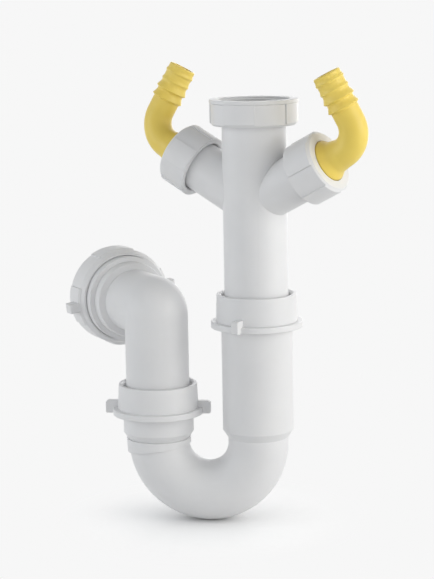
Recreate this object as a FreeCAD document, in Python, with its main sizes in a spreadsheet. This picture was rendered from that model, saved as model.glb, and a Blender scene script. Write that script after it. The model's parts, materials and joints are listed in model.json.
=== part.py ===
import FreeCAD, Part
import math
import os
import re
import Sketcher

# Kitchen sink trap: a swivelling tubular P trap with two angled hose branches.
# Millimetres. The origin is the centre of the inlet nut's mouth, where the sink waste screws in.
# +Z is up, out of that mouth. The left leg of the bend lies towards -X. Levels are depths below
# the origin, and a branch or an outlet is measured outwards along its own axis.

doc = FreeCAD.newDocument("sink_trap")
sheet = doc.addObject("Spreadsheet::Sheet", "Sizes")
Vector = FreeCAD.Vector

SIZES = {
    # Tubes and the U bend
    "tube_radius": 20.5,            # outside of the trunk tube and of the outlet bend's leg
    "tube_wall": 2.0,
    "leg_pitch": 65.8,              # between the two legs of the bend
    "socket_gap": 0.4,              # round a tube inside its socket
    "socket_wall": 1.95,            # of the bend's two sockets
    "bend_level": 221.3,            # level of the bend's centre of curvature
    "right_neck_rise": 8.8,         # from there up to where each socket starts to neck down
    "left_neck_rise": 6.0,
    "neck_length": 5.0,
    "bend_tube_radius": 19.5,
    "bend_wall": 2.0,
    "collar_step": 1.4,             # of the raised band at the left start of the bend
    "collar_angle": 8.0,
    "trunk_share": 0.595,           # of the right socket's depth that the trunk fills
    "leg_insertion": 21.5,          # of the outlet bend's leg into the left socket
    # Inlet nut, inlet washer and the trunk's flange
    "inlet_thread_step": 1.95,      # from the tube to the 1 1/2 inch pipe thread's smallest radius
    "inlet_nut_height": 16.5,
    "inlet_nut_wall": 5.45,         # from that thread to the top of a grip pad
    "inlet_rim_step": 0.35,
    "inlet_rim_height": 2.2,
    "inlet_grip_step": 0.7,
    "grip_angle": 45.0,             # degrees that one raised grip pad spans, on every nut
    "inlet_relief": 0.6,
    "inlet_lip": 3.0,
    "inlet_nut_turn": -12.0,        # degrees, of the middle of one raised pad
    "flange_gap": 0.35,             # round the flange inside the nut's thread
    "flange_thickness": 2.5,
    "inlet_washer_thickness": 2.6,
    # Compression nuts of the height adjustment and of the swivel, with their rings
    "height_nut_level": 145.2,      # of the nut's open end
    "height_nut_height": 21.4,
    "swivel_nut_rise": 17.7,        # of the nut's open end above the bend's centre of curvature
    "swivel_nut_height": 19.9,
    "height_nut_turn": -105.0,      # degrees, of one lug
    "swivel_nut_turn": 4.0,
    "nut_top_wall": 1.3,
    "nut_base_wall": 2.0,
    "nut_ring_step": 3.2,
    "nut_ring_height": 3.9,
    "nut_lip": 2.6,
    "nut_lip_gap": 1.9,             # round a tube in the hole of its nut
    "lug_length": 4.9,              # past the nut's ring
    "lug_height": 8.2,
    "lug_width": 4.4,
    "socket_thread_wall": 3.0,      # from a socket's bore to its thread's largest radius
    "socket_thread_length": 11.0,
    "thread_gap": 0.3,              # between a plain nut bore and the plain thread it turns on
    "slip_ring_height": 2.0,
    "slip_ring_width": 3.1,
    "seal_gap": 0.3,                # round a tube inside its unsqueezed seal
    "seal_rise": 2.6,               # of a seal above its socket's mouth
    "seal_depth": 2.4,              # of a seal inside its socket's mouth
    "seal_seat_gap": 0.05,
    "mouth_bevel": 2.1,             # across the bevel that the seal wedges into
    "mouth_bevel_depth": 3.2,
    # Hose branches and their nuts
    "branch_level": 65.3,           # where the branch axes meet the trunk axis
    "branch_rise": 27.4,            # degrees above level
    "branch_azimuth": -23.3,        # degrees, of the right branch; the left one is opposite
    "branch_radius": 15.9,
    "branch_wall": 2.3,
    "branch_end": 55.0,             # of the right branch
    "left_branch_extra": 3.2,       # by which the left branch is longer
    "hose_thread_step": 0.7,        # from the branch to its 1 inch pipe thread's largest radius
    "hose_thread_length": 11.5,
    "nozzle_washer_thickness": 2.0,
    "nozzle_collar_gap": 0.4,       # from the thread's radius in to the nozzle's collar
    "nozzle_collar_thickness": 2.2,
    "nozzle_nut_length": 20.4,
    "nozzle_nut_wall": 3.8,
    "nozzle_grip_step": 0.7,
    "nozzle_nut_right_turn": -22.0,  # degrees
    "nozzle_nut_left_turn": 18.0,
    "nozzle_nut_lip": 2.2,
    "hub_gap": 0.4,                 # round the nozzle's hub in the hole of its nut
    # Hose nozzles
    "nozzle_right_turn": 13.0,      # degrees, of the spigot from straight up, about the branch
    "nozzle_left_turn": 14.7,
    "collar_width": 3.0,            # of the collar round the hub
    "hub_taper_end": 4.6,           # from the nut's face to where the hub has narrowed
    "hub_taper_step": 1.0,
    "elbow_start": 10.4,            # from the nut's face to where the elbow starts
    "elbow_bend": 16.6,             # radius of the elbow's centre line
    "elbow_step": 0.7,              # by which the elbow is wider at its start than the spigot
    "elbow_turn": 87.0,             # degrees
    "spigot_radius": 8.8,
    "spigot_length": 31.4,
    "nozzle_wall": 2.0,
    "hub_wall": 3.6,
    "rib_pitch": 5.96,
    "rib_count": 4,
    "low_rib_rise": 0.9,            # of the ribs next to the mouth, above the spigot
    "low_rib_length": 2.4,
    "high_rib_rise": 1.75,          # of the ribs next to the elbow
    "high_rib_length": 4.0,
    "rib_edge": 0.3,
    "end_land": 3.0,                # plain end of the spigot, past its last rib
    # Outlet bend and outlet nut
    "outlet_rise": 86.7,            # of the outlet's axis above the bend's centre of curvature
    "outlet_azimuth": 127.0,        # degrees
    "elbow_radius": 5.0,            # of the tight outer turn; the inner corner is sharp
    "outlet_socket_end": 61.5,
    "pipe_step": 1.4,               # from the tube's outside to the bore of the outlet socket
    "pipe_depth": 22.0,
    "shoulder_run": 27.0,           # from the socket's end back to the start of its shoulder
    "shoulder_length": 3.5,
    "shoulder_wall": 3.1,
    "outlet_thread_wall": 6.2,
    "outlet_thread_length": 19.5,
    "outlet_seal_wall": 3.0,
    "outlet_seal_depth": 5.0,
    "outlet_seal_rise": 2.2,
    "outlet_slip_height": 2.2,
    "outlet_slip_gap": 0.3,         # from the thread's radius in to the slip ring
    "outlet_pipe_gap": 0.3,         # outside the pipe bore in the seal and the slip ring
    "outlet_nut_length": 20.2,
    "outlet_nut_lip": 2.8,
    "outlet_nut_lip_gap": 1.0,
    "outlet_nut_wall": 4.4,
    "outlet_grip_step": 1.0,
    "outlet_nut_slope": 3.2,
    "outlet_lug_step": 6.0,         # past the grip pads
    "outlet_lug_width": 6.0,
    "outlet_lug_length": 9.0,
    "outlet_nut_turn": 82.0,        # degrees, of one lug, from straight down
    # Small edges
    "edge": 0.6,
    "soft_edge": 1.2,
}

for row, (alias, number) in enumerate(SIZES.items(), start=1):
    sheet.set(f"A{row}", alias.replace("_", " "))
    sheet.set(f"B{row}", str(number))
    sheet.setAlias(f"B{row}", alias)
doc.recompute()

# Sizes worked out from the ones above, so that what fits together stays together.
DERIVED = {
    "tube_bore": "tube_radius - tube_wall",
    "socket_bore": "tube_radius + socket_gap",
    "socket_radius": "socket_bore + socket_wall",
    "bend_bore": "bend_tube_radius - bend_wall",
    "collar_radius": "bend_tube_radius + collar_step",
    "right_socket_end": "bend_level - right_neck_rise",
    "left_socket_end": "bend_level - left_neck_rise",
    "right_neck_end": "right_socket_end + neck_length",
    "left_neck_end": "left_socket_end + neck_length",
    "half_pitch": "leg_pitch / 2",
    "inlet_thread_radius": "tube_radius + inlet_thread_step",
    "inlet_nut_radius": "inlet_thread_radius + inlet_nut_wall",
    "inlet_rim_radius": "inlet_nut_radius + inlet_rim_step",
    "flange_radius": "inlet_thread_radius - flange_gap",
    "flange_seat": "inlet_nut_height - inlet_lip",
    "flange_top": "flange_seat - flange_thickness",
    "inlet_washer_top": "flange_top - inlet_washer_thickness",
    "inlet_recess": "inlet_nut_radius - inlet_grip_step",
    "lip_hole": "tube_radius + socket_gap",
    "swivel_nut_level": "bend_level - swivel_nut_rise",
    "height_nut_top": "height_nut_level - height_nut_height",
    "swivel_nut_top": "swivel_nut_level - swivel_nut_height",
    "stack": "nut_lip + slip_ring_height + seal_rise",
    "height_mouth": "height_nut_top + stack",
    "swivel_mouth": "swivel_nut_top + stack",
    "trunk_end": "height_mouth + (right_socket_end - height_mouth) * trunk_share",
    "leg_end": "swivel_mouth + leg_insertion",
    "socket_thread_radius": "socket_bore + socket_thread_wall",
    "nut_bore": "socket_thread_radius + thread_gap",
    "nut_top_radius": "nut_bore + nut_top_wall",
    "nut_base_radius": "nut_bore + nut_base_wall",
    "nut_ring_radius": "nut_base_radius + nut_ring_step",
    "nut_lip_radius": "tube_radius + nut_lip_gap",
    "lug_reach": "nut_ring_radius + lug_length",
    "slip_ring_radius": "tube_radius + slip_ring_width",
    "ring_bore": "tube_radius + seal_gap",
    "branch_bore": "branch_radius - branch_wall",
    "hose_thread_radius": "branch_radius + hose_thread_step",
    "hose_nut_bore": "hose_thread_radius + thread_gap",
    "nozzle_nut_radius": "hose_nut_bore + nozzle_nut_wall",
    "nozzle_recess": "nozzle_nut_radius - nozzle_grip_step",
    "collar_seat": "branch_end + nozzle_washer_thickness",
    "collar_face": "collar_seat + nozzle_collar_thickness",
    "hose_nut_face": "collar_face + nozzle_nut_lip",
    "hose_nut_start": "hose_nut_face - nozzle_nut_length",
    "nozzle_collar_radius": "hose_thread_radius - nozzle_collar_gap",
    "hub_radius": "nozzle_collar_radius - collar_width",
    "hub_mouth_radius": "hub_radius - hub_wall",
    "elbow_start_radius": "spigot_radius + elbow_step",
    "hub_taper_radius": "elbow_start_radius + hub_taper_step",
    "hub_bore_radius": "elbow_start_radius - nozzle_wall",
    "nozzle_bore_radius": "spigot_radius - nozzle_wall",
    "pivot": "hose_nut_face + elbow_start",
    "outlet_level": "bend_level - outlet_rise",
    "pipe_radius": "tube_radius + pipe_step",
    "pipe_stop": "outlet_socket_end - pipe_depth",
    "shoulder_start": "outlet_socket_end - shoulder_run",
    "shoulder_radius": "pipe_radius + shoulder_wall",
    "collar_start": "outlet_socket_end - outlet_thread_length",
    "outlet_thread_radius": "pipe_radius + outlet_thread_wall",
    "outlet_nut_bore": "outlet_thread_radius + thread_gap",
    "outlet_nut_lip_radius": "pipe_radius + outlet_nut_lip_gap",
    "outlet_nut_radius": "outlet_nut_bore + outlet_nut_wall",
    "outlet_lug_reach": "outlet_nut_radius + outlet_lug_step",
    "outlet_seal_radius": "pipe_radius + outlet_seal_wall",
    "outlet_seal_bore": "pipe_radius + outlet_pipe_gap",
    "outlet_seal_top": "outlet_socket_end + outlet_seal_rise",
    "outlet_slip_radius": "outlet_thread_radius - outlet_slip_gap",
    "outlet_slip_top": "outlet_seal_top + outlet_slip_height",
    "outlet_nut_face": "outlet_slip_top + outlet_nut_lip",
    "outlet_nut_start": "outlet_nut_face - outlet_nut_length",
    "outlet_recess": "outlet_nut_radius - outlet_grip_step",
}


def formula(text):
    """Spell an expression out in cells of the sheet."""
    def spell(match):
        word = match.group(0)
        if word in DERIVED:
            return "(" + formula(DERIVED[word]) + ")"
        return "Sizes." + word if word in SIZES else word
    return re.sub(r"[a-z_][a-z0-9_]*", spell, str(text))


def value(text):
    return float(sheet.evalExpression(formula(text)))


def new_body(label):
    body = doc.addObject("PartDesign::Body", label)
    body.Label = label
    return body


def own_plane(body, role):
    return next(item for item in body.Origin.OriginFeatures if item.Role == role)


def new_sketch(body, name, role):
    sketch = body.newObject("Sketcher::SketchObject", name)
    sketch.AttachmentSupport = [(own_plane(body, role), "")]
    sketch.MapMode = "FlatFace"
    return sketch


def pin_point(sketch, item, end, x, y):
    """Hold one end of a line, or a circle's centre, at x, y from the sketch's origin."""
    for kind, axis, text in (("DistanceX", -2, x), ("DistanceY", -1, y)):
        if str(text) == "0":
            sketch.addConstraint(Sketcher.Constraint("PointOnObject", item, end, axis))
            continue
        index = sketch.addConstraint(Sketcher.Constraint(kind, -1, 1, item, end, value(text)))
        sketch.setExpression(f"Constraints[{index}]", formula(text))


def draw_axis(sketch, axis):
    """A construction line between two points, for a feature to turn about."""
    ends = [Vector(value(x), value(y), 0) for x, y in axis]
    line = sketch.addGeometry(Part.LineSegment(ends[0], ends[1]), True)
    pin_point(sketch, line, 1, *axis[0])
    pin_point(sketch, line, 2, *axis[1])


def outline(body, name, corners, axis=None):
    """A closed outline through corners, pairs of expressions in XZ, and a line to turn it about."""
    sketch = new_sketch(body, name, "XZ_Plane")
    points = [Vector(value(x), value(y), 0) for x, y in corners]
    count = len(points)
    for index in range(count):
        sketch.addGeometry(Part.LineSegment(points[index], points[(index + 1) % count]), False)
    for index in range(count):
        sketch.addConstraint(Sketcher.Constraint("Coincident", index, 2, (index + 1) % count, 1))
    for index, (x, y) in enumerate(corners):
        pin_point(sketch, index, 1, x, y)
    if axis:
        draw_axis(sketch, axis)
    doc.recompute()
    return sketch


def disc(body, name, radius, centre=("0", "0"), offset=None, axis=None):
    """A circle in the body's XY plane, moved by offset, with an axis line to turn it about."""
    sketch = new_sketch(body, name, "XY_Plane")
    if offset:
        sketch.setExpression("AttachmentOffset", offset)
    circle = Part.Circle(Vector(value(centre[0]), value(centre[1]), 0), Vector(0, 0, 1), value(radius))
    sketch.addGeometry(circle, False)
    pin_point(sketch, 0, 3, *centre)
    index = sketch.addConstraint(Sketcher.Constraint("Radius", 0, value(radius)))
    sketch.setExpression(f"Constraints[{index}]", formula(radius))
    if axis:
        draw_axis(sketch, axis)
    doc.recompute()
    return sketch


def moved(x, y, z, pitch="0"):
    """An offset that shifts a sketch and tips it about Y."""
    place = "; ".join(formula(text) for text in (x, y, z))
    return (f"create(<<placement>>; create(<<vector>>; {place}); "
            f"create(<<rotation>>; 0; {formula(pitch)}; 0))")


def spin(body, name, sketch, angle="360", cut=False, about=None, reverse=False, midplane=False):
    """Turn a sketch about its vertical axis, or about its own axis line, to add or cut material."""
    before = body.Shape.Volume if body.Tip and not body.Shape.isNull() else 0.0
    kind = "PartDesign::Groove" if cut else "PartDesign::Revolution"
    feature = body.newObject(kind, name)
    feature.Profile = sketch
    feature.ReferenceAxis = (sketch, [about or "V_Axis"])
    feature.Midplane = midplane
    feature.Reversed = reverse
    feature.setExpression("Angle", formula(angle))
    doc.recompute()
    change = body.Shape.Volume - before
    if (change < 0) != cut or abs(change) < 1e-3:
        raise RuntimeError(f"{body.Label}: {name} changed the volume by {change:.4f}")
    return feature


def repeat(body, name, feature, count):
    """Copy a feature evenly round the body's Z axis."""
    pattern = body.newObject("PartDesign::PolarPattern", name)
    pattern.Originals = [feature]
    pattern.Axis = (own_plane(body, "Z_Axis"), [""])
    pattern.Angle = 360
    pattern.Occurrences = count
    body.Tip = pattern
    doc.recompute()
    return pattern


def round_edges(body, name, radius, pick):
    """Round the circular edges that pick(edge radius, centre) chooses."""
    names = []
    for index, edge in enumerate(body.Shape.Edges, start=1):
        if isinstance(edge.Curve, Part.Circle) and pick(edge.Curve.Radius, edge.Curve.Center):
            names.append(f"Edge{index}")
    if not names:
        raise RuntimeError(f"{body.Label}: {name} found no edge")
    base = body.Tip
    fillet = body.newObject("PartDesign::Fillet", name)
    fillet.Base = (base, names)
    fillet.setExpression("Radius", formula(radius))
    body.Tip = fillet
    doc.recompute()
    return fillet


def near(number, text):
    return abs(number - value(text)) < 1e-4


def place(body, x="0", z="0", yaw="0", pitch="0", turn="0", lift="0"):
    """Turn and lift a body along its own Z axis, tip it about Y, swing it about Z and move it."""
    body.setExpression("Placement", f"create(<<placement>>; create(<<vector>>; {formula(x)}; 0; "
                       f"{formula(z)}); create(<<rotation>>; {formula(yaw)}; {formula(pitch)}; 0))"
                       f" * create(<<placement>>; create(<<vector>>; 0; 0; {formula(lift)}); "
                       f"create(<<rotation>>; {formula(turn)}; 0; 0))")
    doc.recompute()


def along(level, rise, distance, radius, side=""):
    """The corner at distance along a slanted axis and radius above it, in the XZ plane."""
    x = f"{side}(({distance}) * cos({rise}) - ({radius}) * sin({rise}))"
    z = f"{level} + ({distance}) * sin({rise}) + ({radius}) * cos({rise})"
    return x, z


GRIP_COUNT = 4
LUG_COUNT = 2


def grip_pads(body, name, inner, outer, low, high, bevel="edge"):
    """Raised pads round a nut, as wide as the gaps between them, with bevelled ends."""
    pad = spin(body, name, outline(body, name + "_outline", [
        (inner, low), (f"{outer} - {bevel}", low), (outer, f"{low} + {bevel}"),
        (outer, f"{high} - {bevel}"), (f"{outer} - {bevel}", high), (inner, high)]),
        angle="grip_angle", midplane=True)
    return repeat(body, name + "_ring", pad, GRIP_COUNT)


def lugs(body, name, inner, reach, low, high, width):
    """Lugs to turn a nut by hand, each with its outer corners cut."""
    sketch = outline(body, name + "_outline", [
        (inner, low), (f"{reach} - edge", low), (reach, f"{low} + edge"),
        (reach, f"{high} - soft_edge"), (f"{reach} - soft_edge", high), (inner, high)])
    feature = body.newObject("PartDesign::Pad", name)
    feature.Profile = sketch
    feature.Midplane = True
    feature.setExpression("Length", formula(width))
    doc.recompute()
    return repeat(body, name + "_ring", feature, LUG_COUNT)


def make_inlet_nut():
    body = new_body("inlet_nut")
    spin(body, "shell", outline(body, "shell_outline", [
        ("inlet_thread_radius + edge", "0"),
        ("inlet_rim_radius", "0"),
        ("inlet_rim_radius", "-inlet_rim_height"),
        ("inlet_recess", "-inlet_rim_height - inlet_grip_step"),
        ("inlet_recess", "-inlet_nut_height + soft_edge"),
        ("inlet_recess - soft_edge", "-inlet_nut_height"),
        ("lip_hole", "-inlet_nut_height"),
        ("lip_hole", "-flange_seat"),
        ("inlet_thread_radius + inlet_relief", "-flange_seat"),
        ("inlet_thread_radius + inlet_relief", "-inlet_washer_top - edge"),
        ("inlet_thread_radius", "-inlet_washer_top"),
        ("inlet_thread_radius", "-edge")]))
    grip_pads(body, "grip", "inlet_recess - edge", "inlet_nut_radius",
              "-inlet_nut_height + soft_edge", "-inlet_rim_height")
    place(body, yaw="inlet_nut_turn")
    return body


def make_inlet_washer():
    body = new_body("inlet_washer")
    spin(body, "ring", outline(body, "ring_outline", [
        ("tube_bore", "-flange_top"), ("flange_radius", "-flange_top"),
        ("flange_radius", "-inlet_washer_top"), ("tube_bore", "-inlet_washer_top")]))
    return body


def branch_point(distance, radius, side):
    return along("-branch_level", "branch_rise", distance, radius, side)


def make_inlet_body():
    body = new_body("inlet_body")
    spin(body, "trunk", outline(body, "trunk_outline", [
        ("0", "-flange_top"), ("flange_radius", "-flange_top"), ("flange_radius", "-flange_seat"),
        ("tube_radius", "-flange_seat"), ("tube_radius", "-trunk_end + edge"),
        ("tube_radius - edge", "-trunk_end"), ("0", "-trunk_end")]))
    branches = (("right", "", "branch_end"), ("left", "-", "branch_end + left_branch_extra"))
    for name, side, end in branches:
        corners = [("0", "0"), ("0", "branch_radius"),
                   (f"{end} - hose_thread_length", "branch_radius"),
                   (f"{end} - hose_thread_length", "hose_thread_radius"),
                   (f"{end} - edge", "hose_thread_radius"),
                   (end, "hose_thread_radius - edge"), (end, "0")]
        axis = [branch_point("0", "0", side), branch_point(end, "0", side)]
        spin(body, f"{name}_branch", outline(body, f"{name}_branch_outline",
             [branch_point(s, r, side) for s, r in corners], axis=axis), about="Axis0")
    spin(body, "trunk_bore", outline(body, "trunk_bore_outline", [
        ("0", "-flange_top"), ("tube_bore", "-flange_top"), ("tube_bore", "-trunk_end"),
        ("0", "-trunk_end")]), cut=True)
    for name, side, end in branches:
        corners = [("0", "0"), ("0", "branch_bore"), (end, "branch_bore"), (end, "0")]
        axis = [branch_point("0", "0", side), branch_point(end, "0", side)]
        spin(body, f"{name}_bore", outline(body, f"{name}_bore_outline",
             [branch_point(s, r, side) for s, r in corners], axis=axis), cut=True, about="Axis0")
    place(body, yaw="branch_azimuth")
    return body


def on_branch(body, side, turn="0"):
    """Set a body made along Z on the end of one branch; the right branch's sizes are its own."""
    left = side == "left"
    place(body, z="-branch_level", yaw="branch_azimuth + 180" if left else "branch_azimuth",
          pitch="90 - branch_rise", turn=turn, lift="left_branch_extra" if left else "0")


def make_nozzle_nut(side):
    body = new_body(f"nozzle_nut_{side}")
    spin(body, "shell", outline(body, "shell_outline", [
        ("hose_nut_bore + edge", "hose_nut_start"),
        ("nozzle_recess", "hose_nut_start"),
        ("nozzle_recess", "hose_nut_face - soft_edge"),
        ("nozzle_recess - soft_edge", "hose_nut_face"),
        ("hub_radius + hub_gap", "hose_nut_face"),
        ("hub_radius + hub_gap", "collar_face"),
        ("hose_nut_bore", "collar_face"),
        ("hose_nut_bore", "hose_nut_start + edge")]))
    grip_pads(body, "grip", "nozzle_recess - edge", "nozzle_nut_radius", "hose_nut_start",
              "hose_nut_face - soft_edge")
    on_branch(body, side, f"nozzle_nut_{side}_turn")
    return body


def make_nozzle_washer(side):
    body = new_body(f"nozzle_washer_{side}")
    spin(body, "ring", outline(body, "ring_outline", [
        ("branch_bore", "branch_end"), ("nozzle_collar_radius", "branch_end"),
        ("nozzle_collar_radius", "collar_seat"), ("branch_bore", "collar_seat")]))
    on_branch(body, side)
    return body


ELBOW_SECTIONS = 6


def elbow_loft(body, name, start_radius, end_radius, cut):
    """A tapering elbow through circles that fan out about the elbow's centre of curvature."""
    sketches = []
    for index in range(ELBOW_SECTIONS):
        share = f"{index} / {ELBOW_SECTIONS - 1}"
        turn = f"elbow_turn * {share}"
        sketches.append(disc(body, f"{name}_section_{index}",
                             f"{start_radius} + ({end_radius} - {start_radius}) * {share}",
                             offset=moved(f"-elbow_bend * (1 - cos({turn}))", "0",
                                          f"pivot + elbow_bend * sin({turn})", f"-{turn}")))
    loft = body.newObject("PartDesign::SubtractiveLoft" if cut else "PartDesign::AdditiveLoft", name)
    loft.Profile = sketches[0]
    loft.Sections = sketches[1:]
    doc.recompute()
    return loft


def spigot_point(distance, radius):
    """A corner on the spigot: distance past the elbow's end, radius off its axis."""
    x = (f"(elbow_bend + {radius}) * cos(elbow_turn) - elbow_bend"
         f" - ({distance}) * sin(elbow_turn)")
    z = f"pivot + (elbow_bend + {radius}) * sin(elbow_turn) + ({distance}) * cos(elbow_turn)"
    return x, z


def rib_corners():
    """Saw-tooth ribs, first the one next to the elbow: a step up, then a ramp down to the mouth."""
    corners = []
    for steps in reversed(range(SIZES["rib_count"])):
        kind = "low" if steps < SIZES["rib_count"] / 2 else "high"
        crest = f"spigot_radius + {kind}_rib_rise"
        foot = f"spigot_length - end_land - low_rib_length - {steps} * rib_pitch"
        corners += [(foot, "spigot_radius"), (foot, f"{crest} - rib_edge"),
                    (f"{foot} + rib_edge", crest), (f"{foot} + {kind}_rib_length", "spigot_radius")]
    return corners


def make_nozzle(side):
    body = new_body(f"nozzle_{side}")
    spin(body, "collar", outline(body, "collar_outline", [
        ("0", "collar_seat"), ("nozzle_collar_radius", "collar_seat"),
        ("nozzle_collar_radius", "collar_face"), ("hub_radius", "collar_face"),
        ("hub_radius", "hose_nut_face + edge"),
        ("hub_taper_radius", "hose_nut_face + hub_taper_end"),
        ("elbow_start_radius", "pivot"), ("0", "pivot")]))
    elbow_loft(body, "elbow", "elbow_start_radius", "spigot_radius", cut=False)
    corners = [("0", "0"), ("0", "spigot_radius")] + rib_corners()
    corners += [("spigot_length - edge", "spigot_radius"), ("spigot_length", "spigot_radius - edge"),
                ("spigot_length", "0")]
    axis = [spigot_point("0", "0"), spigot_point("spigot_length", "0")]
    spin(body, "spigot", outline(body, "spigot_outline",
         [spigot_point(s, r) for s, r in corners], axis=axis), about="Axis0")
    spin(body, "hub_bore", outline(body, "hub_bore_outline", [
        ("0", "collar_seat"), ("hub_mouth_radius", "collar_seat"), ("hub_bore_radius", "pivot"),
        ("0", "pivot")]), cut=True)
    elbow_loft(body, "elbow_bore", "hub_bore_radius", "nozzle_bore_radius", cut=True)
    corners = [("0", "0"), ("0", "nozzle_bore_radius"), ("spigot_length", "nozzle_bore_radius"),
               ("spigot_length", "0")]
    spin(body, "spigot_bore", outline(body, "spigot_bore_outline",
         [spigot_point(s, r) for s, r in corners], axis=axis), cut=True, about="Axis0")
    on_branch(body, side, f"nozzle_{side}_turn")
    return body


def make_compression_nut(label, top, level, x, yaw):
    """A nut with a ring and two lugs at its open lower end and a lip round the tube on top."""
    body = new_body(label)
    spin(body, "shell", outline(body, "shell_outline", [
        ("nut_bore + edge", f"-{level}"),
        ("nut_ring_radius", f"-{level}"),
        ("nut_ring_radius", f"-{level} + nut_ring_height"),
        ("nut_base_radius", f"-{level} + nut_ring_height"),
        ("nut_top_radius", f"-{top}"),
        ("nut_lip_radius + soft_edge", f"-{top}"),
        ("nut_lip_radius", f"-{top} - soft_edge"),
        ("nut_lip_radius", f"-{top} - nut_lip"),
        ("nut_bore", f"-{top} - nut_lip"),
        ("nut_bore", f"-{level} + edge")]))
    round_edges(body, "ring_edge", "edge",
                lambda radius, centre: near(radius, "nut_ring_radius")
                and near(centre.z, f"-{level} + nut_ring_height"))
    round_edges(body, "rim_edge", "edge",
                lambda radius, centre: near(radius, "nut_top_radius") and near(centre.z, f"-{top}"))
    lugs(body, "lug", "nut_bore + edge", "lug_reach", f"-{level}", f"-{level} + lug_height",
         "lug_width")
    place(body, x=x, yaw=yaw)
    return body


def make_slip_ring(label, top, x):
    body = new_body(label)
    spin(body, "ring", outline(body, "ring_outline", [
        ("ring_bore", f"-{top} - nut_lip"), ("slip_ring_radius", f"-{top} - nut_lip"),
        ("slip_ring_radius", f"-{top} - nut_lip - slip_ring_height"),
        ("ring_bore", f"-{top} - nut_lip - slip_ring_height")]))
    place(body, x=x)
    return body


def make_seal(label, mouth, x):
    """A wedge-shaped rubber ring, its taper against the bevel of the socket's mouth."""
    body = new_body(label)
    foot = "socket_bore + mouth_bevel * (mouth_bevel_depth - seal_depth) / mouth_bevel_depth"
    spin(body, "ring", outline(body, "ring_outline", [
        ("ring_bore", f"-{mouth} - seal_depth"),
        (f"{foot} - seal_seat_gap", f"-{mouth} - seal_depth"),
        ("socket_bore + mouth_bevel - seal_seat_gap", f"-{mouth}"),
        ("slip_ring_radius", f"-{mouth} + edge"),
        ("slip_ring_radius", f"-{mouth} + seal_rise"),
        ("ring_bore", f"-{mouth} + seal_rise")]))
    place(body, x=x)
    return body


def socket_outer(mouth, side, x):
    """One socket of the bend from its threaded mouth to its neck, round the line at x."""
    return [(x, f"-{mouth}"), (f"{x} + socket_thread_radius - edge", f"-{mouth}"),
            (f"{x} + socket_thread_radius", f"-{mouth} - edge"),
            (f"{x} + socket_thread_radius", f"-{mouth} - socket_thread_length"),
            (f"{x} + socket_radius", f"-{mouth} - socket_thread_length - edge"),
            (f"{x} + socket_radius", f"-{side}_socket_end"),
            (f"{x} + bend_tube_radius", f"-{side}_neck_end"),
            (f"{x} + bend_tube_radius", "-bend_level"), (x, "-bend_level")]


def socket_inner(mouth, side, x):
    return [(x, f"-{mouth}"), (f"{x} + socket_bore + mouth_bevel", f"-{mouth}"),
            (f"{x} + socket_bore", f"-{mouth} - mouth_bevel_depth"),
            (f"{x} + socket_bore", f"-{side}_socket_end"),
            (f"{x} + bend_bore", f"-{side}_neck_end"), (f"{x} + bend_bore", "-bend_level"),
            (x, "-bend_level")]


def make_u_bend():
    body = new_body("u_bend")
    legs = (("right", "height_mouth", "0"), ("left", "swivel_mouth", "-leg_pitch"))
    turn_axis = [("-half_pitch", "-1"), ("-half_pitch", "1")]
    for name, mouth, x in legs:
        axis = [(x, f"-{mouth}"), (x, "-bend_level")]
        spin(body, f"{name}_socket", outline(body, f"{name}_socket_outline",
             socket_outer(mouth, name, x), axis=axis), about="Axis0")
    level = moved("0", "0", "-bend_level")
    spin(body, "bend", disc(body, "bend_section", "bend_tube_radius", offset=level, axis=turn_axis),
         angle="180", about="Axis0")
    spin(body, "collar", disc(body, "collar_section", "collar_radius", centre=("-leg_pitch", "0"),
         offset=level, axis=turn_axis), angle="collar_angle", about="Axis0", reverse=True)
    spin(body, "collar_band", outline(body, "collar_band_outline", [
        ("-leg_pitch", "-left_neck_end + edge"),
        ("-leg_pitch + collar_radius", "-left_neck_end + edge"),
        ("-leg_pitch + collar_radius", "-bend_level"), ("-leg_pitch", "-bend_level")],
        axis=[("-leg_pitch", "-left_neck_end"), ("-leg_pitch", "-bend_level")]), about="Axis0")
    for name, mouth, x in legs:
        axis = [(x, f"-{mouth}"), (x, "-bend_level")]
        spin(body, f"{name}_bore", outline(body, f"{name}_bore_outline",
             socket_inner(mouth, name, x), axis=axis), cut=True, about="Axis0")
    spin(body, "bend_bore", disc(body, "bend_bore_section", "bend_bore", offset=level,
         axis=turn_axis), angle="180", cut=True, about="Axis0")
    return body


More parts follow.
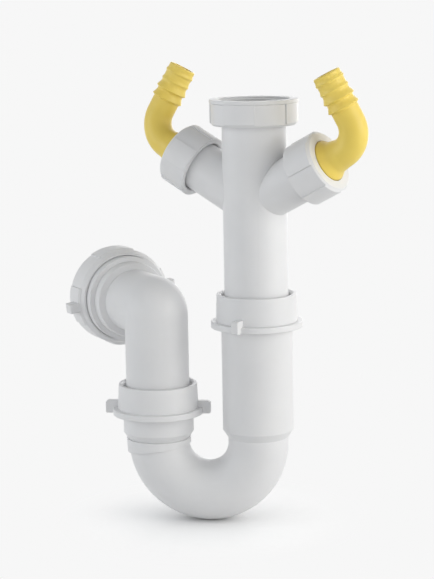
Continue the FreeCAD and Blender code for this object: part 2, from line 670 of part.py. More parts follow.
def make_outlet_bend():
    body = new_body("outlet_bend")
    spin(body, "leg", outline(body, "leg_outline", [
        ("0", "-outlet_level - elbow_radius"), ("tube_radius", "-outlet_level - elbow_radius"),
        ("tube_radius", "-leg_end + edge"), ("tube_radius - edge", "-leg_end"), ("0", "-leg_end")]))
    level = "-outlet_level - elbow_radius"
    spin(body, "elbow", bent_section(body, "elbow_section", "tube_radius", "elbow_radius", level),
         angle="90", about="Axis0")
    axis = [("elbow_radius", "-outlet_level"), ("outlet_socket_end", "-outlet_level")]

    def run(distance, radius):
        return distance, f"-outlet_level + {radius}"

    spin(body, "socket", outline(body, "socket_outline", [
        run("elbow_radius", "0"), run("elbow_radius", "tube_radius"),
        run("shoulder_start", "tube_radius"),
        run("shoulder_start + shoulder_length / 2", "shoulder_radius - edge"),
        run("shoulder_start + shoulder_length", "shoulder_radius"),
        run("collar_start", "shoulder_radius"),
        run("collar_start + edge", "outlet_thread_radius"),
        run("outlet_socket_end - edge", "outlet_thread_radius"),
        run("outlet_socket_end", "outlet_thread_radius - edge"),
        run("outlet_socket_end", "0")], axis=axis), about="Axis0")
    spin(body, "leg_bore", outline(body, "leg_bore_outline", [
        ("0", "-outlet_level - elbow_radius"), ("tube_bore", "-outlet_level - elbow_radius"),
        ("tube_bore", "-leg_end"), ("0", "-leg_end")]), cut=True)
    spin(body, "elbow_bore", bent_section(body, "elbow_bore_section", "tube_bore", "elbow_radius",
         level), angle="90", cut=True, about="Axis0")
    spin(body, "pipe_bore", outline(body, "pipe_bore_outline", [
        run("elbow_radius", "0"), run("elbow_radius", "tube_bore"), run("pipe_stop", "tube_bore"),
        run("pipe_stop", "pipe_radius"),
        run("outlet_socket_end - outlet_seal_depth", "pipe_radius"),
        run("outlet_socket_end - outlet_seal_depth", "outlet_seal_radius"),
        run("outlet_socket_end", "outlet_seal_radius"), run("outlet_socket_end", "0")],
        axis=axis), cut=True, about="Axis0")
    place(body, x="-leg_pitch", yaw="outlet_azimuth")
    return body


def on_outlet(body, turn="0"):
    place(body, x="-leg_pitch", z="-outlet_level", yaw="outlet_azimuth", pitch="90", turn=turn)


def bent_section(body, name, radius, reach, level):
    """The part of a tube's section that lies outside the line at reach, which it turns about."""
    sketch = new_sketch(body, name, "XY_Plane")
    sketch.setExpression("AttachmentOffset", moved("0", "0", level))
    big, near_side = value(radius), value(reach)
    half = math.sqrt(big ** 2 - near_side ** 2)
    start, end = math.atan2(half, near_side), math.atan2(-half, near_side) + 2 * math.pi
    circle = Part.Circle(Vector(0, 0, 0), Vector(0, 0, 1), big)
    sketch.addGeometry(Part.ArcOfCircle(circle, start, end), False)
    sketch.addGeometry(Part.LineSegment(Vector(near_side, -half, 0), Vector(near_side, half, 0)), False)
    for end_a, end_b in ((2, 1), (1, 2)):
        sketch.addConstraint(Sketcher.Constraint("Coincident", 0, end_a, 1, end_b))
    sketch.addConstraint(Sketcher.Constraint("Coincident", 0, 3, -1, 1))
    sketch.addConstraint(Sketcher.Constraint("Vertical", 1))
    for kind, items, text in (("Radius", (0,), radius), ("DistanceX", (-1, 1, 1, 1), reach)):
        index = sketch.addConstraint(Sketcher.Constraint(kind, *items, value(text)))
        sketch.setExpression(f"Constraints[{index}]", formula(text))
    draw_axis(sketch, [(reach, "-1"), (reach, "1")])
    doc.recompute()
    return sketch


def make_outlet_seal():
    body = new_body("outlet_seal")
    spin(body, "ring", outline(body, "ring_outline", [
        ("outlet_seal_bore", "outlet_socket_end - outlet_seal_depth"),
        ("outlet_seal_radius - seal_seat_gap", "outlet_socket_end - outlet_seal_depth"),
        ("outlet_seal_radius - seal_seat_gap", "outlet_socket_end"),
        ("outlet_slip_radius", "outlet_socket_end"),
        ("outlet_slip_radius", "outlet_seal_top"),
        ("outlet_seal_bore", "outlet_seal_top")]))
    on_outlet(body)
    return body


def make_outlet_slip_ring():
    body = new_body("outlet_slip_ring")
    spin(body, "ring", outline(body, "ring_outline", [
        ("outlet_seal_bore", "outlet_seal_top"), ("outlet_slip_radius", "outlet_seal_top"),
        ("outlet_slip_radius", "outlet_slip_top"), ("outlet_seal_bore", "outlet_slip_top")]))
    on_outlet(body)
    return body


def make_outlet_nut():
    body = new_body("outlet_nut")
    spin(body, "shell", outline(body, "shell_outline", [
        ("outlet_nut_bore", "outlet_nut_start"),
        ("outlet_nut_bore + soft_edge", "outlet_nut_start"),
        ("outlet_recess", "outlet_nut_start + outlet_nut_slope"),
        ("outlet_recess", "outlet_nut_face - soft_edge"),
        ("outlet_recess - soft_edge", "outlet_nut_face"),
        ("outlet_nut_lip_radius", "outlet_nut_face"),
        ("outlet_nut_lip_radius", "outlet_slip_top"),
        ("outlet_nut_bore", "outlet_slip_top")]))
    grip_pads(body, "grip", "outlet_recess - edge", "outlet_nut_radius",
              "outlet_nut_start + outlet_nut_slope - edge", "outlet_nut_face - soft_edge",
              bevel="soft_edge")
    lugs(body, "lug", "outlet_nut_bore + edge", "outlet_lug_reach",
         "outlet_nut_start + outlet_nut_slope",
         "outlet_nut_start + outlet_nut_slope + outlet_lug_length", "outlet_lug_width")
    on_outlet(body, "outlet_nut_turn")
    return body


HEIGHT_JOINT = ("height_nut_top", "height_nut_level", "height_mouth", "0")
SWIVEL_JOINT = ("swivel_nut_top", "swivel_nut_level", "swivel_mouth", "-leg_pitch")


def make_compression_joint(name, joint, yaw):
    top, level, mouth, x = joint
    return [make_compression_nut(f"{name}_nut", top, level, x, yaw),
            make_slip_ring(f"{name}_slip_ring", top, x),
            make_seal(f"{name}_seal", mouth, x)]


bodies = [make_inlet_nut(), make_inlet_washer(), make_inlet_body()]
for side_name in ("right", "left"):
    bodies += [make_nozzle_nut(side_name), make_nozzle_washer(side_name), make_nozzle(side_name)]
bodies += make_compression_joint("height", HEIGHT_JOINT, "height_nut_turn")
bodies.append(make_u_bend())
bodies += make_compression_joint("swivel", SWIVEL_JOINT, "swivel_nut_turn")
bodies += [make_outlet_bend(), make_outlet_seal(), make_outlet_slip_ring(), make_outlet_nut()]
doc.recompute()

for item in doc.Objects:
    if "Invalid" in item.State or "Error" in item.State:
        raise RuntimeError(f"{item.Label} is {item.State}")
os.makedirs("parts", exist_ok=True)
for body in bodies:
    shape = body.Shape
    if shape.isNull() or not shape.isValid() or len(shape.Solids) != 1:
        raise RuntimeError(f"{body.Label} is not one valid solid")
    shape.exportStep(f"parts/{body.Label}.step")
    print(f"{body.Label:20s} {shape.Volume / 1000:8.2f} cm3")
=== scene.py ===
import json
import math

import bmesh
import bpy
from mathutils import Matrix, Vector


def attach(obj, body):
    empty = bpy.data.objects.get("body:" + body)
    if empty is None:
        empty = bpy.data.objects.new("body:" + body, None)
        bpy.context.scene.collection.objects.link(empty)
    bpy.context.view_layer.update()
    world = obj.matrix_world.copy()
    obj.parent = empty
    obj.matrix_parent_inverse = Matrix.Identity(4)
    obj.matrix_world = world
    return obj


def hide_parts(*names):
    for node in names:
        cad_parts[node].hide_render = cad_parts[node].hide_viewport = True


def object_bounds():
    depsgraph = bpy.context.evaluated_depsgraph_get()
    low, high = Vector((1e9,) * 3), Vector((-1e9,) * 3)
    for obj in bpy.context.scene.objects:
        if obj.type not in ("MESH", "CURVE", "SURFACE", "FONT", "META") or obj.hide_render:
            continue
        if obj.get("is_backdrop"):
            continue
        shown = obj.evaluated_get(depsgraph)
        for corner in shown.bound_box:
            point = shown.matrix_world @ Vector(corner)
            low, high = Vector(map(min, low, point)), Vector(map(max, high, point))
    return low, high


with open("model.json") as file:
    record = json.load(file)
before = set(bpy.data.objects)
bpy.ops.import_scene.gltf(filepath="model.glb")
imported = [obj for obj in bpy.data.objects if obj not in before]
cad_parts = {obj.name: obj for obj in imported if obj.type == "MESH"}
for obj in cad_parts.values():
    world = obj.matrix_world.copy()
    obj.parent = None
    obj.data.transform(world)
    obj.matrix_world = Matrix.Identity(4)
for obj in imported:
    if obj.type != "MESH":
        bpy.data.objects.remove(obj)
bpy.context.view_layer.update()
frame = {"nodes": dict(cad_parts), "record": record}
NODES = frame["nodes"]

# Kitchen sink trap in white polypropylene with yellow hose nozzles.
# Lengths are metres in the part's own frame, and powers are watts.

# Camera, from the photograph's perspective
CAMERA_PLACE = Vector((0.1891, -1.1583, 0.0753))
CAMERA_HEADING = math.radians(10.5)      # from straight along +Y, towards -X
CAMERA_DIP = math.radians(9.505)
CAMERA_ROLL = 0.018
CAMERA_LENS = 115.87                     # mm
CAMERA_SENSOR = 36.0                     # mm, along the picture's long side
CAMERA_CLIP = (0.05, 30.0)

# Light: levels as radiance, where 1 shows a surface about as its colour is written
HORIZON_LEVEL = 1.09
ZENITH_LEVEL = 0.22                      # the room is lit from its sides, so it is darker above
ZENITH_START = 0.8                       # sine of the height from which that level holds
SKY_TINT = (0.97, 0.985, 1.0)
BACKGROUND = (0.930, 0.930, 0.930)
CENTRE = (-0.02, 0.0, -0.12)             # what the lamps aim at
LAMP_WIDTH = 0.9
LAMPS = (                                # name, place, height, power, colour
    ("key", (1.08, -0.30, 0.02), 1.1, 9.4, (1.0, 0.985, 0.95)),
    ("fill", (-1.20, -0.45, 0.04), 1.0, 4.4, (0.95, 0.98, 1.0)),
    ("back", (0.10, 1.20, 0.02), 1.0, 3.6, (1.0, 1.0, 1.0)),
)

FLOOR_SIZE = 12.0
FLOOR_BOUNCE = 0.82                      # the floor's colour for the light that it sends back
FLOOR_OPEN = 1.48                        # its gain where it shows the shadow, in the open
FLOOR_PAINTED_SHADE = 0.70                     # and right under the object, where ambient occlusion darkens its colour as painted shade
COVER = 0.05                             # how far away the object still darkens it with that painted shade
SHADOW_CENTRE = (-0.033, 0.0)
SHADOW_REACH = (0.02, 0.10)              # the shadow is whole within the first, gone at the second

# Plastic skin: noise scales are per metre
CLOUD_SCALE, WAVE_SCALE, GRAIN_SCALE = 28.0, 85.0, 2600.0
STREAK_SCALE = (160.0, 160.0, 22.0)      # streaks run along the flow of the melt
STREAK_GLOSS = 0.05                      # by which they change the roughness, up or down
WAVE_HEIGHT, GRAIN_HEIGHT = 0.0002, 0.00004
EDGE_SOFTNESS = 0.00045                  # radius that the plastic's edges look rounded to
PLASTIC_IOR, PLASTIC_SPECULAR = 1.49, 0.35
SCATTER_RADIUS, SCATTER_SCALE = (1.0, 0.95, 0.85), 0.0025

# Rubber skin
BLOOM_SCALE, PORE_SCALE = 140.0, 1800.0
PORE_HEIGHT = 0.00006
RUBBER_DARK, RUBBER_BLOOM = (0.018, 0.018, 0.019), (0.036, 0.036, 0.038)
RUBBER_ROUGHNESS = 0.62


def node_adder(tree):
    """Empty a shader tree, and give a helper that adds a node with its settings and inputs."""
    tree.nodes.clear()

    def add(kind, inputs=None, **settings):
        node = tree.nodes.new("ShaderNode" + kind)
        for key, setting in settings.items():
            setattr(node, key, setting)
        for key, source in (inputs or {}).items():
            socket = node.inputs[key]
            if isinstance(source, bpy.types.NodeSocket):
                tree.links.new(source, socket)
            else:
                socket.default_value = source
        return node

    return add


def new_material(name):
    """An empty node material, and the helper that adds its nodes."""
    material = bpy.data.materials.new(name)
    material.use_nodes = True
    return material, node_adder(material.node_tree)


def grey(level):
    return (level, level, level, 1)


def ramp(add, source, low, high, low_colour, high_colour):
    """A smooth step between two colours as the source goes from low to high."""
    node = add("ValToRGB", {"Fac": source})
    node.color_ramp.interpolation = "EASE"
    node.color_ramp.elements[0].position = low
    node.color_ramp.elements[0].color = (*low_colour, 1)
    node.color_ramp.elements[1].position = high
    node.color_ramp.elements[1].color = (*high_colour, 1)
    return node.outputs["Color"]


def plastic(name, colour, tint, roughness, scatter):
    """Moulded plastic: a satin skin with faint clouding, flow streaks, grain and soft edges."""
    material, add = new_material(name)
    place = add("TexCoord").outputs["Object"]
    cloud = add("TexNoise", {"Vector": place, "Scale": CLOUD_SCALE, "Detail": 3.0,
                             "Roughness": 0.55})
    stretched = add("Mapping", {"Vector": place, "Scale": STREAK_SCALE})
    streak = add("TexNoise", {"Vector": stretched.outputs["Vector"], "Scale": 1.0, "Detail": 2.0})
    fine = add("TexNoise", {"Vector": place, "Scale": GRAIN_SCALE, "Detail": 2.0})
    wave = add("TexNoise", {"Vector": place, "Scale": WAVE_SCALE, "Detail": 1.0})
    colours = ramp(add, cloud.outputs["Fac"], 0.30, 0.72, tint, colour)
    gloss = add("MapRange", {"Value": streak.outputs["Fac"], "From Min": 0.3, "From Max": 0.7,
                             "To Min": roughness - STREAK_GLOSS,
                             "To Max": roughness + STREAK_GLOSS})
    soft = add("Bevel", {"Radius": EDGE_SOFTNESS}, samples=4)
    shallow = add("Bump", {"Height": wave.outputs["Fac"], "Strength": 0.25,
                           "Distance": WAVE_HEIGHT, "Normal": soft.outputs["Normal"]})
    skin = add("Bump", {"Height": fine.outputs["Fac"], "Strength": 0.5,
                        "Distance": GRAIN_HEIGHT, "Normal": shallow.outputs["Normal"]})
    shader = add("BsdfPrincipled", {
        "Base Color": colours, "Roughness": gloss.outputs["Result"],
        "Normal": skin.outputs["Normal"], "IOR": PLASTIC_IOR,
        "Specular IOR Level": PLASTIC_SPECULAR, "Subsurface Weight": scatter,
        "Subsurface Radius": SCATTER_RADIUS, "Subsurface Scale": SCATTER_SCALE})
    add("OutputMaterial", {"Surface": shader.outputs["BSDF"]})
    return material


def rubber(name):
    """Black rubber with a dusty bloom and a slightly uneven skin."""
    material, add = new_material(name)
    place = add("TexCoord").outputs["Object"]
    bloom = add("TexNoise", {"Vector": place, "Scale": BLOOM_SCALE, "Detail": 4.0})
    fine = add("TexNoise", {"Vector": place, "Scale": PORE_SCALE, "Detail": 2.0})
    colours = ramp(add, bloom.outputs["Fac"], 0.35, 0.75, RUBBER_DARK, RUBBER_BLOOM)
    skin = add("Bump", {"Height": fine.outputs["Fac"], "Strength": 0.6, "Distance": PORE_HEIGHT})
    shader = add("BsdfPrincipled", {"Base Color": colours, "Roughness": RUBBER_ROUGHNESS,
                                    "Normal": skin.outputs["Normal"]})
    add("OutputMaterial", {"Surface": shader.outputs["BSDF"]})
    return material


FINISHES = {
    "white_polypropylene": plastic("white_polypropylene", (0.800, 0.799, 0.803),
                                   (0.774, 0.775, 0.781), 0.40, 0.10),
    "yellow_plastic": plastic("yellow_plastic", (0.890, 0.685, 0.150),
                              (0.850, 0.640, 0.125), 0.36, 0.10),
    "slip_ring_plastic": plastic("slip_ring_plastic", (0.86, 0.86, 0.85),
                                 (0.83, 0.83, 0.82), 0.32, 0.15),
    "black_rubber": rubber("black_rubber"),
}
SLOT_OF_NODE = {part["node"]: part["material_slot"] for part in frame["record"]["subparts"]}
BODY_OF_NODE = {node: body for body, nodes in frame["record"]["behaviour"]["bodies"].items()
                for node in nodes}
for name, item in NODES.items():
    item.data.materials.clear()
    item.data.materials.append(FINISHES[SLOT_OF_NODE[name]])


# Detailed surfaces. The solids carry plain cylinders and sharp ribs. Each detailed piece is a
# copy of its solid with such a round surface built anew: threads as real helices, and ribs
# softened as moulding leaves them. A nut and its socket share one helix, so they stay in mesh.
PITCH = 0.002309                         # 11 turns to the inch, as the nuts travel in their joints
THREAD_DEPTH = 0.0008
NUT_DEPTH = 0.0005                       # clears the seal and the ring that the nut slides over
CHAMFER = 0.0006                         # by which a thread is worn down where it starts
RUN_OUT = 0.0012                         # over which a thread fades in and out
THREAD_FLAT = 0.15                       # share of half a turn that its root and its crest take
ROW = 0.0003                             # height of the rows of faces
WELD = 1e-6                              # vertices nearer than this are one
TOUCH = 0.00003                          # how far off a vertex may lie and still be on a surface
CREASE = math.radians(28)
FOLD = math.radians(150)
TINY_FACET = 1.5e-7                      # square metres
FILL_RINGS = 3                           # of tiny facets round a fold that are filled anew with it
FULL_TURN = 2 * math.pi


def smooth_step(share):
    share = min(max(share, 0.0), 1.0)
    return share * share * (3.0 - 2.0 * share)


def thread_height(phase):
    """Height of a rounded thread, 0 to 1, at a share of one turn."""
    flank = 1.0 - abs(2.0 * (phase % 1.0) - 1.0)
    return smooth_step((flank - THREAD_FLAT) / (1.0 - 2.0 * THREAD_FLAT))


def stitch(bm, low, high):
    """Triangles between two rings of (angle, vertex) that may differ in number."""
    faces = set()
    lows, highs = len(low), len(high)
    at_low = at_high = 0

    def angle(ring, index):
        return ring[index % len(ring)][0] + FULL_TURN * (index // len(ring))

    while at_low < lows or at_high < highs:
        corner, other = low[at_low % lows][1], high[at_high % highs][1]
        if at_high == highs or (at_low < lows
                                and angle(low, at_low + 1) <= angle(high, at_high + 1)):
            at_low += 1
            third = low[at_low % lows][1]
        else:
            at_high += 1
            third = high[at_high % highs][1]
        faces.add(bm.faces.new((corner, third, other)))
    return faces


def resurface(bm, centre, axis, span, radii, reach_at):
    """Build a round outer or inner surface anew, and give back its faces.

    Span is its length along the axis, radii the smallest and the largest radius of the old
    faces, and reach_at gives the new radius from the place along the axis and the angle round it.
    """
    across = axis.orthogonal().normalized()
    up = axis.cross(across)

    def polar(point):
        offset = point - centre
        x, y = offset.dot(across), offset.dot(up)
        return offset.dot(axis), math.hypot(x, y), (math.atan2(y, x) + TOUCH) % FULL_TURN

    def point_at(along, angle):
        turn = angle - TOUCH
        return centre + axis * along + (across * math.cos(turn) + up * math.sin(turn)) * (
            reach_at(along, angle))

    def in_band(vert):
        along, reach, _ = polar(vert.co)
        return (radii[0] - TOUCH < reach < radii[1] + TOUCH
                and span[0] - TOUCH < along < span[1] + TOUCH)

    old = [face for face in bm.faces if all(in_band(vert) for vert in face.verts)]
    touched = {vert for face in old for vert in face.verts}
    bmesh.ops.delete(bm, geom=old, context="FACES_ONLY")
    loose = [edge for edge in {edge for vert in touched for edge in vert.link_edges}
             if not edge.link_faces]
    bmesh.ops.delete(bm, geom=loose, context="EDGES")
    kept = [vert for vert in touched if vert.is_valid and vert.link_faces]
    rings = [sorted(((polar(vert.co)[2], vert) for vert in kept
                     if abs(polar(vert.co)[0] - end) < TOUCH), key=lambda pair: pair[0])
             for end in span]
    for ring, end in zip(rings, span):
        for angle, vert in ring:
            vert.co = point_at(end, angle)
    steps = round((span[1] - span[0]) / ROW)
    rows = [rings[0]]
    for step in range(1, steps):
        along = span[0] + (span[1] - span[0]) * step / steps
        rows.append([(angle, bm.verts.new(point_at(along, angle))) for angle, _ in rings[0]])
    count = len(rings[0])
    faces = {bm.faces.new((low[index][1], low[(index + 1) % count][1],
                           high[(index + 1) % count][1], high[index][1]))
             for low, high in zip(rows, rows[1:]) for index in range(count)}
    return faces | stitch(bm, rows[-1], rings[1])


def unfolded(bm):
    """The mesh with the tiny facets that lie folded over beside a tight blend filled anew.

    Where that would leave it open, it comes back as it was.
    """
    copy = bm.copy()
    patch = {face for edge in copy.edges if edge.calc_face_angle(0.0) > FOLD
             for face in edge.link_faces if face.calc_area() < TINY_FACET}
    for _ in range(FILL_RINGS):
        patch |= {near for face in patch for vert in face.verts for near in vert.link_faces
                  if near.calc_area() < TINY_FACET}
    bmesh.ops.delete(copy, geom=list(patch), context="FACES")
    for fill in (bmesh.ops.holes_fill, bmesh.ops.edgeloop_fill):
        border = [edge for edge in copy.edges if edge.is_boundary]
        if border:
            made = fill(copy, edges=border)["faces"]
            bmesh.ops.triangulate(copy, faces=made, ngon_method="BEAUTY")
    closed = all(edge.is_manifold for edge in copy.edges)
    (bm if closed else copy).free()
    return copy if closed else bm


def detailed(node, *surfaces):
    """A copy of a CAD node with surfaces built anew, which stands for it and moves with it."""
    bm = bmesh.new()
    bm.from_mesh(NODES[node].data)
    bmesh.ops.remove_doubles(bm, verts=bm.verts, dist=WELD)
    bm = unfolded(bm)
    fresh = set()
    for surface in surfaces:
        fresh |= resurface(bm, *surface)
    bmesh.ops.recalc_face_normals(bm, faces=bm.faces)
    for face in bm.faces:
        face.smooth = True
    for edge in bm.edges:
        edge.smooth = (all(face in fresh for face in edge.link_faces)
                       or edge.calc_face_angle(0.0) < CREASE)
    mesh = bpy.data.meshes.new(node + "_detailed")
    bm.to_mesh(mesh)
    bm.free()
    mesh.materials.append(FINISHES[SLOT_OF_NODE[node]])
    piece = bpy.data.objects.new(node + "_detailed", mesh)
    bpy.context.scene.collection.objects.link(piece)
    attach(piece, BODY_OF_NODE[node])
    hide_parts(node)


# Axes of the threads, each from a point of it
UP = Vector((0.0, 0.0, 1.0))
INLET = Vector((0.0, 0.0, 0.0))
LEFT_LEG = Vector((-0.0658, 0.0, 0.0))
BRANCHES = Vector((0.0, 0.0, -0.0653))   # where the branch axes meet
BRANCH_RISE, BRANCH_HEADING = math.radians(27.4), math.radians(-23.3)
RIGHT_BRANCH = Vector((math.cos(BRANCH_RISE) * math.cos(BRANCH_HEADING),
                       math.cos(BRANCH_RISE) * math.sin(BRANCH_HEADING),
                       math.sin(BRANCH_RISE)))
LEFT_BRANCH = Vector((-RIGHT_BRANCH.x, -RIGHT_BRANCH.y, RIGHT_BRANCH.z))
LEFT_EXTRA = 0.0032                      # by which the left branch is longer
BRANCH_SIDES = {"right": (RIGHT_BRANCH, 0.0), "left": (LEFT_BRANCH, LEFT_EXTRA)}
OUTLET = Vector((-0.0658, 0.0, -0.1346))
OUTLET_HEADING = math.radians(127)
OUTLET_WAY = Vector((math.cos(OUTLET_HEADING), math.sin(OUTLET_HEADING), 0.0))

# Plain radii of the sockets' threads and of their nuts
INLET_RADIUS = 0.02245
TUBE_SOCKET, TUBE_NUT = 0.0239, 0.0242
HOSE_SOCKET, HOSE_NUT = 0.0166, 0.0169
PIPE_SOCKET, PIPE_NUT = 0.0281, 0.0284

# Spans along the axes: a socket's thread from its foot to its mouth, and its nut's plain bore
INLET_SPAN = (-0.0084, -0.0006)
HEIGHT_SPAN, HEIGHT_NUT_SPAN = (-0.1420, -0.1316), (-0.1446, -0.1264)
SWIVEL_SPAN, SWIVEL_NUT_SPAN = (-0.2019, -0.1915), (-0.2030, -0.1863)
HOSE_SPAN, HOSE_NUT_SPAN = (0.0435, 0.0544), (0.0416, 0.0592)
PIPE_SPAN, PIPE_NUT_SPAN = (0.0478, 0.0609), (0.0485, 0.0659)
PIPE_CYLINDER = (0.0426, 0.0609)         # the outlet's thread takes only a part of its cylinder


def further(span, step):
    return span[0] + step, span[1] + step


def thread(centre, axis, radius, span, worked, root, depth, ends):
    """A plain cylinder turned into a thread.

    Span is the cylinder's length along the axis, worked the threaded part of it. Root is the
    thread's smallest radius, depth what its crest adds, and ends the radius at each end of the
    span.
    """
    def reach_at(along, angle):
        plain = ends[0] if along < sum(worked) / 2 else ends[1]
        share = min(along - worked[0], worked[1] - along) / RUN_OUT
        share = min(max(share, 0.0), 1.0)
        height = thread_height(along / PITCH - angle / FULL_TURN)
        return plain + (root + depth * height - plain) * share

    return centre, axis, span, (radius, radius), reach_at


def socket_thread(centre, axis, radius, span):
    return thread(centre, axis, radius, span, span, radius - THREAD_DEPTH, THREAD_DEPTH,
                  (radius - THREAD_DEPTH, radius - CHAMFER))


def nut_thread(centre, axis, radius, span, socket_span):
    """The thread of a nut, from its open end to the mouth of the socket that it screws on to."""
    return thread(centre, axis, radius, span, (span[0], socket_span[1]), radius - NUT_DEPTH,
                  NUT_DEPTH, (radius, radius))


detailed("inlet_nut", thread(INLET, UP, INLET_RADIUS, INLET_SPAN, INLET_SPAN, INLET_RADIUS,
                             THREAD_DEPTH, (INLET_RADIUS, INLET_RADIUS)))
detailed("u_bend", socket_thread(INLET, UP, TUBE_SOCKET, HEIGHT_SPAN),
         socket_thread(LEFT_LEG, UP, TUBE_SOCKET, SWIVEL_SPAN))
detailed("height_nut", nut_thread(INLET, UP, TUBE_NUT, HEIGHT_NUT_SPAN, HEIGHT_SPAN))
detailed("swivel_nut", nut_thread(LEFT_LEG, UP, TUBE_NUT, SWIVEL_NUT_SPAN, SWIVEL_SPAN))
detailed("inlet_body", *(socket_thread(BRANCHES, axis, HOSE_SOCKET, further(HOSE_SPAN, extra))
                         for axis, extra in BRANCH_SIDES.values()))
for side, (axis, extra) in BRANCH_SIDES.items():
    detailed("nozzle_nut_" + side,
             nut_thread(BRANCHES, axis, HOSE_NUT, further(HOSE_NUT_SPAN, extra),
                        further(HOSE_SPAN, extra)))
detailed("outlet_bend", thread(OUTLET, OUTLET_WAY, PIPE_SOCKET, PIPE_CYLINDER, PIPE_SPAN,
                               PIPE_SOCKET - THREAD_DEPTH, THREAD_DEPTH,
                               (PIPE_SOCKET, PIPE_SOCKET - CHAMFER)))
detailed("outlet_nut", nut_thread(OUTLET, OUTLET_WAY, PIPE_NUT, PIPE_NUT_SPAN, PIPE_SPAN))

# The hose nozzles' ribs: where each starts, its length and its height, from the spigot's mouth,
# which is the hose's mount
SPIGOT, SPIGOT_LENGTH = 0.0088, 0.0308
RIBS = ((-0.02268, 0.0040, 0.00175), (-0.01672, 0.0040, 0.00175),
        (-0.01076, 0.0024, 0.00090), (-0.00480, 0.0024, 0.00090))
SOFTENED = 0.00055                       # half the width over which the ribs' corners are rounded
SAMPLES = 12                             # of the sharp ribs for each softened height


def rib_height(along):
    """Height of the sharp ribs: a step up, then a ramp down towards the mouth."""
    for foot, length, height in RIBS:
        if foot <= along <= foot + length:
            return height * (1.0 - (along - foot) / length)
    return 0.0


def spigot_reach(along, _angle):
    """Radius of the spigot, its ribs smoothed over a short length."""
    fade = min(-along, along + SPIGOT_LENGTH, SOFTENED)
    return SPIGOT + sum(rib_height(along + fade * (2 * (index + 0.5) / SAMPLES - 1))
                        for index in range(SAMPLES)) / SAMPLES


MOUNTS = {mount["name"]: mount for mount in frame["record"]["mounts"]}
for side in BRANCH_SIDES:
    hose = MOUNTS["hose_" + side]
    detailed("nozzle_" + side, (Vector(hose["pos_m"]), Vector(hose["axis"]).normalized(),
                                (-SPIGOT_LENGTH, 0.0), (SPIGOT, SPIGOT + RIBS[0][2]),
                                spigot_reach))


def by_ray(add, seen, otherwise):
    """One shader where the camera, a mirror or glass looks at it, and another for all light."""
    path = add("LightPath").outputs
    looks = add("Math", {0: path["Is Camera Ray"], 1: path["Is Glossy Ray"]},
                operation="MAXIMUM")
    looks = add("Math", {0: looks.outputs["Value"], 1: path["Is Transmission Ray"]},
                operation="MAXIMUM")
    return add("MixShader", {"Fac": looks.outputs["Value"], 1: otherwise, 2: seen})


def make_world():
    """A pale background, and the light of a room that is brightest at the horizon."""
    world = bpy.data.worlds.new("studio")
    bpy.context.scene.world = world
    world.use_nodes = True
    add = node_adder(world.node_tree)
    seen = add("Background", {"Color": (*BACKGROUND, 1), "Strength": 1.0})
    way = add("SeparateXYZ", {"Vector": add("TexCoord").outputs["Generated"]})
    level = add("MapRange", {"Value": way.outputs["Z"], "From Min": 0.0,
                             "From Max": ZENITH_START, "To Min": HORIZON_LEVEL,
                             "To Max": ZENITH_LEVEL})
    lighting = add("Background", {"Color": (*SKY_TINT, 1), "Strength": level.outputs["Result"]})
    mix = by_ray(add, seen.outputs["Background"], lighting.outputs["Background"])
    add("OutputWorld", {"Surface": mix.outputs["Shader"]})


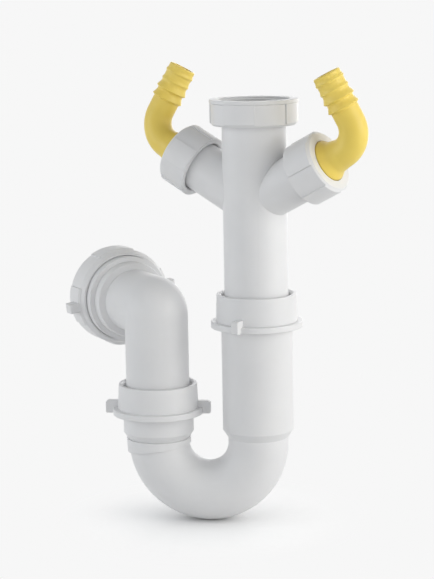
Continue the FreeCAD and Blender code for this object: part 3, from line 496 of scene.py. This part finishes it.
def make_floor(level):
    """A white floor that shows as the background, with the object's shadow fading out on it.
    Right under the object its colour is darkened by ambient occlusion, which is painted shade.

    Its underside is clear, so that it hides nothing from below.
    """
    material, add = new_material("floor")
    bounce = add("BsdfDiffuse", {"Color": grey(FLOOR_BOUNCE)})
    # painted shade: a darker floor colour that ambient occlusion mixes in right under the object
    covered = add("BsdfDiffuse", {"Color": grey(FLOOR_PAINTED_SHADE)})
    uncovered = add("BsdfDiffuse", {"Color": grey(FLOOR_OPEN)})
    openness = add("AmbientOcclusion", {"Distance": COVER}, samples=8)
    lit = add("MixShader", {"Fac": openness.outputs["AO"], 1: covered.outputs["BSDF"],
                            2: uncovered.outputs["BSDF"]})
    glow = add("Emission", {"Color": (*BACKGROUND, 1), "Strength": 1.0})
    geometry = add("NewGeometry").outputs
    offset = add("VectorMath", {0: geometry["Position"], 1: (*SHADOW_CENTRE, level)},
                 operation="DISTANCE")
    share = add("MapRange", {"Value": offset.outputs["Value"], "From Min": SHADOW_REACH[0],
                             "From Max": SHADOW_REACH[1], "To Min": 1.0, "To Max": 0.0},
                interpolation_type="SMOOTHSTEP")
    seen = add("MixShader", {"Fac": share.outputs["Result"], 1: glow.outputs["Emission"],
                             2: lit.outputs["Shader"]})
    top = by_ray(add, seen.outputs["Shader"], bounce.outputs["BSDF"])
    clear = add("BsdfTransparent")
    mix = add("MixShader", {"Fac": geometry["Backfacing"], 1: top.outputs["Shader"],
                            2: clear.outputs["BSDF"]})
    add("OutputMaterial", {"Surface": mix.outputs["Shader"]})
    bpy.ops.mesh.primitive_plane_add(size=FLOOR_SIZE, location=(0.0, 0.0, level))
    floor = bpy.context.object
    floor.name = "floor"
    floor.data.materials.append(material)
    floor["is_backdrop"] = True


def make_lamp(name, place, height, power, colour):
    """A soft box lamp that aims at the object."""
    data = bpy.data.lights.new(name, "AREA")
    data.shape = "RECTANGLE"
    data.size, data.size_y = LAMP_WIDTH, height
    data.energy = power
    data.color = colour
    lamp = bpy.data.objects.new(name, data)
    bpy.context.scene.collection.objects.link(lamp)
    lamp.location = place
    lamp.rotation_mode = "QUATERNION"
    lamp.rotation_quaternion = (Vector(CENTRE) - Vector(place)).to_track_quat("-Z", "Y")


def make_camera():
    data = bpy.data.cameras.new("camera")
    data.sensor_width = CAMERA_SENSOR
    data.lens = CAMERA_LENS
    data.clip_start, data.clip_end = CAMERA_CLIP
    ahead = Vector((-math.sin(CAMERA_HEADING) * math.cos(CAMERA_DIP),
                    math.cos(CAMERA_HEADING) * math.cos(CAMERA_DIP), -math.sin(CAMERA_DIP)))
    level_right = Vector((math.cos(CAMERA_HEADING), math.sin(CAMERA_HEADING), 0.0))
    level_up = level_right.cross(ahead)
    right = level_right * math.cos(CAMERA_ROLL) - level_up * math.sin(CAMERA_ROLL)
    up = level_right * math.sin(CAMERA_ROLL) + level_up * math.cos(CAMERA_ROLL)
    camera = bpy.data.objects.new("camera", data)
    bpy.context.scene.collection.objects.link(camera)
    camera.matrix_world = Matrix.Translation(CAMERA_PLACE) @ Matrix(
        (right, up, -ahead)).transposed().to_4x4()
    bpy.context.scene.camera = camera


bpy.context.scene.view_settings.view_transform = "Standard"
make_world()
make_camera()
make_floor(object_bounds()[0].z)
for lamp in LAMPS:
    make_lamp(*lamp)
